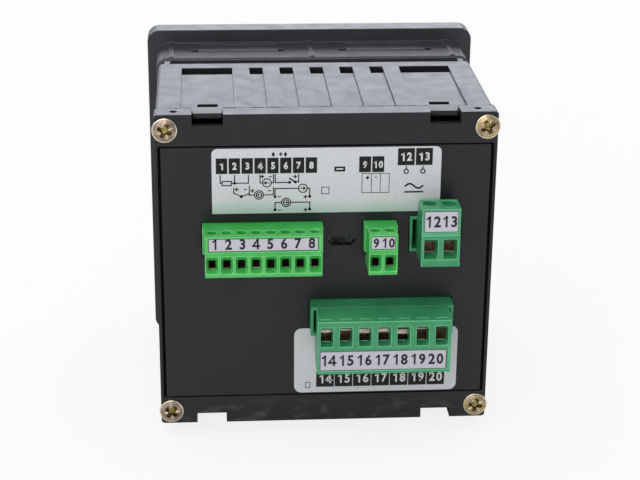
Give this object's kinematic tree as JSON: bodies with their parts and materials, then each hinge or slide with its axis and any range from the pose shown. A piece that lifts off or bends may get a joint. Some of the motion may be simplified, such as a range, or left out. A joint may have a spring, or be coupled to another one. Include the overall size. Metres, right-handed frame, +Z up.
{
  "type": "panel temperature controller",
  "caption": "Square panel-mount process controller with ribbed case, framed front with keys, and pluggable screw terminals on a screwed rear cover.",
  "frame": {"origin": "centre of the bezel flange's rear face, the plane of the panel it is fitted in", "axes": "front looks along -Y, terminals along +Y, +Z up, +X to the left as seen from the front"},
  "size_m": [0.096, 0.0922, 0.096],
  "materials": {
    "bezel_plastic": "satin moulded black",
    "case_plastic": "semi-gloss moulded black",
    "window_tint": "tinted transparent panel",
    "display_grey": "dark display face",
    "key_grey": "matte grey key",
    "board_green": "lacquered circuit board",
    "zinc_yellow": "yellow passivated zinc",
    "transformer_core": "ferrite",
    "relay_black": "black case",
    "tinned_shell": "tinned",
    "signal_green": "bright green moulded",
    "power_green": "green moulded",
    "screw_steel": "plated",
    "cage_metal": "tinned brass"
  },
  "bodies": {
    "housing": {"front_bezel": "bezel_plastic", "display_window": "window_tint", "display_module": "display_grey", "front_board": "board_green", "case_body": "case_plastic", "rear_cover": "case_plastic", "cover_screws": "zinc_yellow", "upper_board": "board_green", "lower_board": "board_green", "transformer": "transformer_core", "relays": "relay_black", "usb_socket": "tinned_shell", "signal_headers": "signal_green", "power_headers": "power_green"},
    "key_1": {"key_1": "key_grey"},
    "key_2": {"key_2": "key_grey"},
    "key_3": {"key_3": "key_grey"},
    "key_4": {"key_4": "key_grey"},
    "plug_1_8": {"plug_1_8": "signal_green"},
    "terminal_screw_1": {"terminal_screw_1": "screw_steel"},
    "clamp_cage_1": {"clamp_cage_1": "cage_metal"},
    "terminal_screw_2": {"terminal_screw_2": "screw_steel"},
    "clamp_cage_2": {"clamp_cage_2": "cage_metal"},
    "terminal_screw_3": {"terminal_screw_3": "screw_steel"},
    "clamp_cage_3": {"clamp_cage_3": "cage_metal"},
    "terminal_screw_4": {"terminal_screw_4": "screw_steel"},
    "clamp_cage_4": {"clamp_cage_4": "cage_metal"},
    "terminal_screw_5": {"terminal_screw_5": "screw_steel"},
    "clamp_cage_5": {"clamp_cage_5": "cage_metal"},
    "terminal_screw_6": {"terminal_screw_6": "screw_steel"},
    "clamp_cage_6": {"clamp_cage_6": "cage_metal"},
    "terminal_screw_7": {"terminal_screw_7": "screw_steel"},
    "clamp_cage_7": {"clamp_cage_7": "cage_metal"},
    "terminal_screw_8": {"terminal_screw_8": "screw_steel"},
    "clamp_cage_8": {"clamp_cage_8": "cage_metal"},
    "plug_9_10": {"plug_9_10": "signal_green"},
    "terminal_screw_9": {"terminal_screw_9": "screw_steel"},
    "clamp_cage_9": {"clamp_cage_9": "cage_metal"},
    "terminal_screw_10": {"terminal_screw_10": "screw_steel"},
    "clamp_cage_10": {"clamp_cage_10": "cage_metal"},
    "plug_12_13": {"plug_12_13": "power_green"},
    "terminal_screw_12": {"terminal_screw_12": "screw_steel"},
    "clamp_cage_12": {"clamp_cage_12": "cage_metal"},
    "terminal_screw_13": {"terminal_screw_13": "screw_steel"},
    "clamp_cage_13": {"clamp_cage_13": "cage_metal"},
    "plug_14_20": {"plug_14_20": "power_green"},
    "terminal_screw_14": {"terminal_screw_14": "screw_steel"},
    "clamp_cage_14": {"clamp_cage_14": "cage_metal"},
    "terminal_screw_15": {"terminal_screw_15": "screw_steel"},
    "clamp_cage_15": {"clamp_cage_15": "cage_metal"},
    "terminal_screw_16": {"terminal_screw_16": "screw_steel"},
    "clamp_cage_16": {"clamp_cage_16": "cage_metal"},
    "terminal_screw_17": {"terminal_screw_17": "screw_steel"},
    "clamp_cage_17": {"clamp_cage_17": "cage_metal"},
    "terminal_screw_18": {"terminal_screw_18": "screw_steel"},
    "clamp_cage_18": {"clamp_cage_18": "cage_metal"},
    "terminal_screw_19": {"terminal_screw_19": "screw_steel"},
    "clamp_cage_19": {"clamp_cage_19": "cage_metal"},
    "terminal_screw_20": {"terminal_screw_20": "screw_steel"},
    "clamp_cage_20": {"clamp_cage_20": "cage_metal"}
  },
  "joints": [
    {"name": "key_1_press", "type": "slide", "parent": "housing", "child": "key_1", "axis": [0, 1, 0], "range_m": [0, 0.0005], "stiffness_N_per_m": 3000, "springref_m": -0.0003},
    {"name": "key_2_press", "type": "slide", "parent": "housing", "child": "key_2", "axis": [0, 1, 0], "range_m": [0, 0.0005], "stiffness_N_per_m": 3000, "springref_m": -0.0003},
    {"name": "key_3_press", "type": "slide", "parent": "housing", "child": "key_3", "axis": [0, 1, 0], "range_m": [0, 0.0005], "stiffness_N_per_m": 3000, "springref_m": -0.0003},
    {"name": "key_4_press", "type": "slide", "parent": "housing", "child": "key_4", "axis": [0, 1, 0], "range_m": [0, 0.0005], "stiffness_N_per_m": 3000, "springref_m": -0.0003},
    {"name": "plug_1_8_pull", "type": "slide", "parent": "housing", "child": "plug_1_8", "axis": [0, 1, 0], "range_m": [0, 0.01]},
    {"name": "clamp_cage_1_rise", "type": "slide", "parent": "plug_1_8", "child": "clamp_cage_1", "axis": [0, 0, 1], "range_m": [-0.0007, 0.0017]},
    {"name": "terminal_screw_1_turn", "type": "hinge", "parent": "plug_1_8", "child": "terminal_screw_1", "pos_m": [0.03013, 0.0784, 0.01], "axis": [0, 0, 1], "range_deg": [-1530.01, 630.01]},
    {"name": "clamp_cage_2_rise", "type": "slide", "parent": "plug_1_8", "child": "clamp_cage_2", "axis": [0, 0, 1], "range_m": [-0.0007, 0.0017]},
    {"name": "terminal_screw_2_turn", "type": "hinge", "parent": "plug_1_8", "child": "terminal_screw_2", "pos_m": [0.02633, 0.0784, 0.01], "axis": [0, 0, 1], "range_deg": [-1530.01, 630.01]},
    {"name": "clamp_cage_3_rise", "type": "slide", "parent": "plug_1_8", "child": "clamp_cage_3", "axis": [0, 0, 1], "range_m": [-0.0006, 0.0018]},
    {"name": "terminal_screw_3_turn", "type": "hinge", "parent": "plug_1_8", "child": "terminal_screw_3", "pos_m": [0.02252, 0.0784, 0.01], "axis": [0, 0, 1], "range_deg": [-1620.01, 540.01]},
    {"name": "clamp_cage_4_rise", "type": "slide", "parent": "plug_1_8", "child": "clamp_cage_4", "axis": [0, 0, 1], "range_m": [-0.0008, 0.0016]},
    {"name": "terminal_screw_4_turn", "type": "hinge", "parent": "plug_1_8", "child": "terminal_screw_4", "pos_m": [0.0187, 0.0784, 0.01], "axis": [0, 0, 1], "range_deg": [-1440.01, 720.01]},
    {"name": "clamp_cage_5_rise", "type": "slide", "parent": "plug_1_8", "child": "clamp_cage_5", "axis": [0, 0, 1], "range_m": [-0.0005, 0.0019]},
    {"name": "terminal_screw_5_turn", "type": "hinge", "parent": "plug_1_8", "child": "terminal_screw_5", "pos_m": [0.0149, 0.0784, 0.01], "axis": [0, 0, 1], "range_deg": [-1710.01, 450.01]},
    {"name": "clamp_cage_6_rise", "type": "slide", "parent": "plug_1_8", "child": "clamp_cage_6", "axis": [0, 0, 1], "range_m": [-0.0007, 0.0017]},
    {"name": "terminal_screw_6_turn", "type": "hinge", "parent": "plug_1_8", "child": "terminal_screw_6", "pos_m": [0.01108, 0.0784, 0.01], "axis": [0, 0, 1], "range_deg": [-1530.01, 630.01]},
    {"name": "clamp_cage_7_rise", "type": "slide", "parent": "plug_1_8", "child": "clamp_cage_7", "axis": [0, 0, 1], "range_m": [-0.0006, 0.0018]},
    {"name": "terminal_screw_7_turn", "type": "hinge", "parent": "plug_1_8", "child": "terminal_screw_7", "pos_m": [0.00728, 0.0784, 0.01], "axis": [0, 0, 1], "range_deg": [-1620.01, 540.01]},
    {"name": "clamp_cage_8_rise", "type": "slide", "parent": "plug_1_8", "child": "clamp_cage_8", "axis": [0, 0, 1], "range_m": [-0.0007, 0.0017]},
    {"name": "terminal_screw_8_turn", "type": "hinge", "parent": "plug_1_8", "child": "terminal_screw_8", "pos_m": [0.00347, 0.0784, 0.01], "axis": [0, 0, 1], "range_deg": [-1530.01, 630.01]},
    {"name": "plug_9_10_pull", "type": "slide", "parent": "housing", "child": "plug_9_10", "axis": [0, 1, 0], "range_m": [0, 0.01]},
    {"name": "clamp_cage_9_rise", "type": "slide", "parent": "plug_9_10", "child": "clamp_cage_9", "axis": [0, 0, 1], "range_m": [-0.0006, 0.0018]},
    {"name": "terminal_screw_9_turn", "type": "hinge", "parent": "plug_9_10", "child": "terminal_screw_9", "pos_m": [-0.0123, 0.0784, 0.01], "axis": [0, 0, 1], "range_deg": [-1620.01, 540.01]},
    {"name": "clamp_cage_10_rise", "type": "slide", "parent": "plug_9_10", "child": "clamp_cage_10", "axis": [0, 0, 1], "range_m": [-0.0007, 0.0017]},
    {"name": "terminal_screw_10_turn", "type": "hinge", "parent": "plug_9_10", "child": "terminal_screw_10", "pos_m": [-0.01611, 0.0784, 0.01], "axis": [0, 0, 1], "range_deg": [-1530.01, 630.01]},
    {"name": "plug_12_13_pull", "type": "slide", "parent": "housing", "child": "plug_12_13", "axis": [0, 1, 0], "range_m": [0, 0.011]},
    {"name": "clamp_cage_12_rise", "type": "slide", "parent": "plug_12_13", "child": "clamp_cage_12", "axis": [0, 0, 1], "range_m": [-0.00065, 0.00235]},
    {"name": "terminal_screw_12_turn", "type": "hinge", "parent": "plug_12_13", "child": "terminal_screw_12", "pos_m": [-0.02646, 0.0776, 0.01435], "axis": [0, 0, 1], "range_deg": [-1692.01, 468.01]},
    {"name": "clamp_cage_13_rise", "type": "slide", "parent": "plug_12_13", "child": "clamp_cage_13", "axis": [0, 0, 1], "range_m": [-0.00075, 0.00225]},
    {"name": "terminal_screw_13_turn", "type": "hinge", "parent": "plug_12_13", "child": "terminal_screw_13", "pos_m": [-0.03154, 0.0776, 0.01435], "axis": [0, 0, 1], "range_deg": [-1620.01, 540.01]},
    {"name": "plug_14_20_pull", "type": "slide", "parent": "housing", "child": "plug_14_20", "axis": [0, 1, 0], "range_m": [0, 0.011]},
    {"name": "clamp_cage_14_rise", "type": "slide", "parent": "plug_14_20", "child": "clamp_cage_14", "axis": [0, 0, -1], "range_m": [-0.00095, 0.00205]},
    {"name": "terminal_screw_14_turn", "type": "hinge", "parent": "plug_14_20", "child": "terminal_screw_14", "pos_m": [0.00034, 0.0785, -0.0185], "axis": [0, 0, -1], "range_deg": [-1476.01, 684.01]},
    {"name": "clamp_cage_15_rise", "type": "slide", "parent": "plug_14_20", "child": "clamp_cage_15", "axis": [0, 0, -1], "range_m": [-0.0005, 0.0025]},
    {"name": "terminal_screw_15_turn", "type": "hinge", "parent": "plug_14_20", "child": "terminal_screw_15", "pos_m": [-0.00474, 0.0785, -0.0185], "axis": [0, 0, -1], "range_deg": [-1800.01, 360.01]},
    {"name": "clamp_cage_16_rise", "type": "slide", "parent": "plug_14_20", "child": "clamp_cage_16", "axis": [0, 0, -1], "range_m": [-0.0013, 0.0017]},
    {"name": "terminal_screw_16_turn", "type": "hinge", "parent": "plug_14_20", "child": "terminal_screw_16", "pos_m": [-0.00982, 0.0785, -0.0185], "axis": [0, 0, -1], "range_deg": [-1224.01, 936.01]},
    {"name": "clamp_cage_17_rise", "type": "slide", "parent": "plug_14_20", "child": "clamp_cage_17", "axis": [0, 0, -1], "range_m": [-0.00115, 0.00185]},
    {"name": "terminal_screw_17_turn", "type": "hinge", "parent": "plug_14_20", "child": "terminal_screw_17", "pos_m": [-0.0149, 0.0785, -0.0185], "axis": [0, 0, -1], "range_deg": [-1332.01, 828.01]},
    {"name": "clamp_cage_18_rise", "type": "slide", "parent": "plug_14_20", "child": "clamp_cage_18", "axis": [0, 0, -1], "range_m": [-0.00175, 0.00125]},
    {"name": "terminal_screw_18_turn", "type": "hinge", "parent": "plug_14_20", "child": "terminal_screw_18", "pos_m": [-0.01998, 0.0785, -0.0185], "axis": [0, 0, -1], "range_deg": [-900.01, 1260.01]},
    {"name": "clamp_cage_19_rise", "type": "slide", "parent": "plug_14_20", "child": "clamp_cage_19", "axis": [0, 0, -1], "range_m": [-0.0004, 0.0026]},
    {"name": "terminal_screw_19_turn", "type": "hinge", "parent": "plug_14_20", "child": "terminal_screw_19", "pos_m": [-0.02506, 0.0785, -0.0185], "axis": [0, 0, -1], "range_deg": [-1872.01, 288.01]},
    {"name": "clamp_cage_20_rise", "type": "slide", "parent": "plug_14_20", "child": "clamp_cage_20", "axis": [0, 0, -1], "range_m": [0, 0.003]},
    {"name": "terminal_screw_20_turn", "type": "hinge", "parent": "plug_14_20", "child": "terminal_screw_20", "pos_m": [-0.03014, 0.0785, -0.0185], "axis": [0, 0, -1], "range_deg": [-2160.01, 0.01]}
  ],
  "couplings": [
    {"joint": "terminal_screw_1_turn", "follows": "clamp_cage_1_rise", "rad_per_m": -15708},
    {"joint": "terminal_screw_2_turn", "follows": "clamp_cage_2_rise", "rad_per_m": -15708},
    {"joint": "terminal_screw_3_turn", "follows": "clamp_cage_3_rise", "rad_per_m": -15708},
    {"joint": "terminal_screw_4_turn", "follows": "clamp_cage_4_rise", "rad_per_m": -15708},
    {"joint": "terminal_screw_5_turn", "follows": "clamp_cage_5_rise", "rad_per_m": -15708},
    {"joint": "terminal_screw_6_turn", "follows": "clamp_cage_6_rise", "rad_per_m": -15708},
    {"joint": "terminal_screw_7_turn", "follows": "clamp_cage_7_rise", "rad_per_m": -15708},
    {"joint": "terminal_screw_8_turn", "follows": "clamp_cage_8_rise", "rad_per_m": -15708},
    {"joint": "terminal_screw_9_turn", "follows": "clamp_cage_9_rise", "rad_per_m": -15708},
    {"joint": "terminal_screw_10_turn", "follows": "clamp_cage_10_rise", "rad_per_m": -15708},
    {"joint": "terminal_screw_12_turn", "follows": "clamp_cage_12_rise", "rad_per_m": -12566},
    {"joint": "terminal_screw_13_turn", "follows": "clamp_cage_13_rise", "rad_per_m": -12566},
    {"joint": "terminal_screw_14_turn", "follows": "clamp_cage_14_rise", "rad_per_m": -12566},
    {"joint": "terminal_screw_15_turn", "follows": "clamp_cage_15_rise", "rad_per_m": -12566},
    {"joint": "terminal_screw_16_turn", "follows": "clamp_cage_16_rise", "rad_per_m": -12566},
    {"joint": "terminal_screw_17_turn", "follows": "clamp_cage_17_rise", "rad_per_m": -12566},
    {"joint": "terminal_screw_18_turn", "follows": "clamp_cage_18_rise", "rad_per_m": -12566},
    {"joint": "terminal_screw_19_turn", "follows": "clamp_cage_19_rise", "rad_per_m": -12566},
    {"joint": "terminal_screw_20_turn", "follows": "clamp_cage_20_rise", "rad_per_m": -12566}
  ]
}
